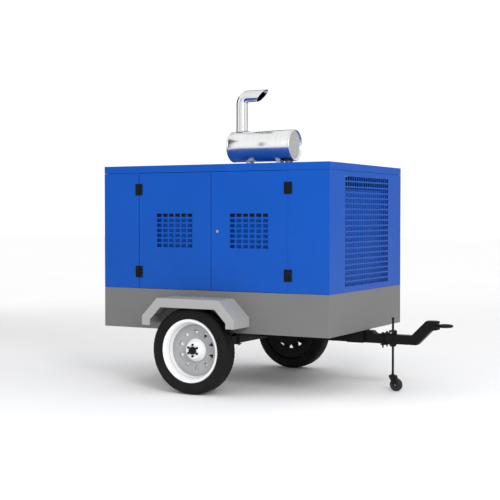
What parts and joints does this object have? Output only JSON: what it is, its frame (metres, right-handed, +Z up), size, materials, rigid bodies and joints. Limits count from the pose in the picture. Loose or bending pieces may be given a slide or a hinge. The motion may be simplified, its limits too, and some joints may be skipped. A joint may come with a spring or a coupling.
{
  "type": "towable diesel generator",
  "caption": "Diesel generator in a louvred sheet-metal canopy on a single-axle trailer, with side service doors, roof muffler, fenders, drawbar, jockey wheel and towing ring.",
  "frame": {"origin": "ground level under the middle of the overall length and width", "axes": "+X forwards to the towing ring, +Y to the left side, +Z up"},
  "size_m": [2.959, 2.08, 2.597],
  "materials": {
    "canopy_paint": "satin blue enamel on sheet steel",
    "base_paint": "satin grey enamel on sheet steel",
    "fender_paint": "satin light grey enamel",
    "chassis_paint": "semi-gloss black chassis enamel",
    "rim_paint": "gloss white wheel enamel",
    "tyre_rubber": "matt black rubber",
    "caster_rubber": "matt black rubber",
    "stainless": "polished stainless steel",
    "bright_steel": "zinc-plated steel",
    "engine_paint": "dark green engine enamel on cast iron",
    "alternator_paint": "dark green enamel",
    "head_alloy": "cast aluminium",
    "radiator_core": "matt black radiator core",
    "black_plastic": "matt black plastic",
    "tank_plastic": "black polyethylene",
    "panel_paint": "light grey powder coat",
    "stop_plastic": "glossy red plastic"
  },
  "bodies": {
    "root": {"air_filter": "black_plastic", "alternator": "alternator_paint", "axle_tube": "chassis_paint", "base_bund": "base_paint", "battery": "black_plastic", "canopy_hoop": "canopy_paint", "chassis_frame": "chassis_paint", "control_panel": "panel_paint", "corner_panel_front_left": "canopy_paint", "corner_panel_front_right": "canopy_paint", "corner_panel_rear_left": "canopy_paint", "corner_panel_rear_right": "canopy_paint", "cylinder_head": "head_alloy", "drawbar": "chassis_paint", "drawbar_socket": "chassis_paint", "engine_bed": "chassis_paint", "engine_block": "engine_paint", "exhaust_riser": "bright_steel", "fan_shroud": "black_plastic", "fender_left": "fender_paint", "fender_right": "fender_paint", "front_baffle": "canopy_paint", "front_panel": "canopy_paint", "fuel_tank": "tank_plastic", "gooseneck": "chassis_paint", "jack_sleeve": "chassis_paint", "muffler": "stainless", "muffler_saddle_front": "canopy_paint", "muffler_saddle_rear": "canopy_paint", "radiator": "radiator_core", "rear_deck": "base_paint", "rear_panel": "canopy_paint", "roof": "canopy_paint", "tailpipe": "stainless", "tow_ring": "chassis_paint"},
    "front_right_door": {"door_front_right": "canopy_paint"},
    "front_left_door": {"door_front_left": "canopy_paint"},
    "rear_right_door": {"door_rear_right": "canopy_paint"},
    "rear_left_door": {"door_rear_left": "canopy_paint"},
    "right_lock": {"door_lock_right": "bright_steel"},
    "left_lock": {"door_lock_left": "bright_steel"},
    "control_door": {"rear_door": "canopy_paint"},
    "right_arm": {"swing_arm_right": "chassis_paint"},
    "left_arm": {"swing_arm_left": "chassis_paint"},
    "right_wheel": {"hub_right": "bright_steel", "rim_right": "rim_paint", "tyre_right": "tyre_rubber"},
    "left_wheel": {"hub_left": "bright_steel", "rim_left": "rim_paint", "tyre_left": "tyre_rubber"},
    "leg": {"jack_leg": "chassis_paint"},
    "clamp": {"clamp_screw": "bright_steel"},
    "fork": {"caster_fork": "bright_steel"},
    "caster": {"caster_wheel": "caster_rubber"},
    "crank": {"crank_pulley": "bright_steel"},
    "fan": {"cooling_fan": "black_plastic"},
    "cap": {"fuel_cap": "black_plastic"},
    "stop_button": {"emergency_stop": "stop_plastic"},
    "key": {"key_switch": "bright_steel"},
    "breaker": {"breaker_lever": "black_plastic"}
  },
  "joints": [
    {"name": "front_right_door_hinge", "type": "hinge", "parent": "root", "child": "front_right_door", "pos_m": [0.3565, -0.7815, 0.852], "axis": [0, 0, 1], "range_deg": [0, 120]},
    {"name": "rear_right_door_hinge", "type": "hinge", "parent": "root", "child": "rear_right_door", "pos_m": [-1.0835, -0.7815, 0.852], "axis": [0, 0, -1], "range_deg": [0, 120]},
    {"name": "right_lock_turn", "type": "hinge", "parent": "front_right_door", "child": "right_lock", "pos_m": [-0.301, -0.775, 1.3455], "axis": [0, -1, 0], "range_deg": [0, 90]},
    {"name": "right_suspension", "type": "hinge", "parent": "root", "child": "right_arm", "pos_m": [-0.3185, -0.7, 0.415], "axis": [0, 1, 0], "range_deg": [-8, 10], "stiffness_Nm_per_rad": 4500, "springref_deg": -13.9},
    {"name": "right_wheel_spin", "type": "hinge", "parent": "right_arm", "child": "right_wheel", "pos_m": [-0.4385, -0.93, 0.36], "axis": [0, 1, 0], "continuous": true},
    {"name": "front_left_door_hinge", "type": "hinge", "parent": "root", "child": "front_left_door", "pos_m": [0.3565, 0.7815, 0.852], "axis": [0, 0, -1], "range_deg": [0, 120]},
    {"name": "rear_left_door_hinge", "type": "hinge", "parent": "root", "child": "rear_left_door", "pos_m": [-1.0835, 0.7815, 0.852], "axis": [0, 0, 1], "range_deg": [0, 120]},
    {"name": "left_lock_turn", "type": "hinge", "parent": "front_left_door", "child": "left_lock", "pos_m": [-0.301, 0.775, 1.3455], "axis": [0, -1, 0], "range_deg": [0, 90]},
    {"name": "left_suspension", "type": "hinge", "parent": "root", "child": "left_arm", "pos_m": [-0.3185, 0.7, 0.415], "axis": [0, 1, 0], "range_deg": [-8, 10], "stiffness_Nm_per_rad": 4500, "springref_deg": -13.9},
    {"name": "left_wheel_spin", "type": "hinge", "parent": "left_arm", "child": "left_wheel", "pos_m": [-0.4385, 0.93, 0.36], "axis": [0, 1, 0], "continuous": true},
    {"name": "control_door_hinge", "type": "hinge", "parent": "root", "child": "control_door", "pos_m": [-1.456, -0.4, 1], "axis": [0, 0, 1], "range_deg": [0, 120]},
    {"name": "clamp_screw_turn", "type": "hinge", "parent": "root", "child": "clamp", "pos_m": [0.9565, -0.0103, 0.495], "axis": [0, -1, 0], "range_deg": [0, 360]},
    {"name": "jack_leg_slide", "type": "slide", "parent": "root", "child": "leg", "axis": [0, 0, -1], "range_m": [-0.2, 0.1]},
    {"name": "caster_swivel", "type": "hinge", "parent": "leg", "child": "fork", "pos_m": [0.9565, 0, 0.1345], "axis": [0, 0, 1], "continuous": true},
    {"name": "caster_spin", "type": "hinge", "parent": "fork", "child": "caster", "pos_m": [0.9865, 0, 0.055], "axis": [0, 1, 0], "continuous": true},
    {"name": "crank_spin", "type": "hinge", "parent": "root", "child": "crank", "pos_m": [0.2422, 0, 1.1], "axis": [1, 0, 0], "continuous": true},
    {"name": "fan_spin", "type": "hinge", "parent": "root", "child": "fan", "pos_m": [0.2422, 0, 1.34], "axis": [1, 0, 0], "continuous": true},
    {"name": "fuel_cap_turn", "type": "hinge", "parent": "root", "child": "cap", "pos_m": [-0.9135, -0.34, 0.9596], "axis": [0, 0, 1], "range_deg": [0, 90]},
    {"name": "emergency_stop_press", "type": "slide", "parent": "root", "child": "stop_button", "axis": [1, 0, 0], "range_m": [0, 0.006], "stiffness_N_per_m": 900, "springref_m": -0.002},
    {"name": "key_turn", "type": "hinge", "parent": "root", "child": "key", "pos_m": [-1.3898, 0.2, 1.45], "axis": [1, 0, 0], "range_deg": [0, 90]},
    {"name": "breaker_throw", "type": "hinge", "parent": "root", "child": "breaker", "pos_m": [-1.4008, -0.1, 1.25], "axis": [0, 1, 0], "range_deg": [-25, 25]}
  ],
  "couplings": [
    {"joint": "fan_spin", "follows": "crank_spin", "ratio": 1.6}
  ]
}
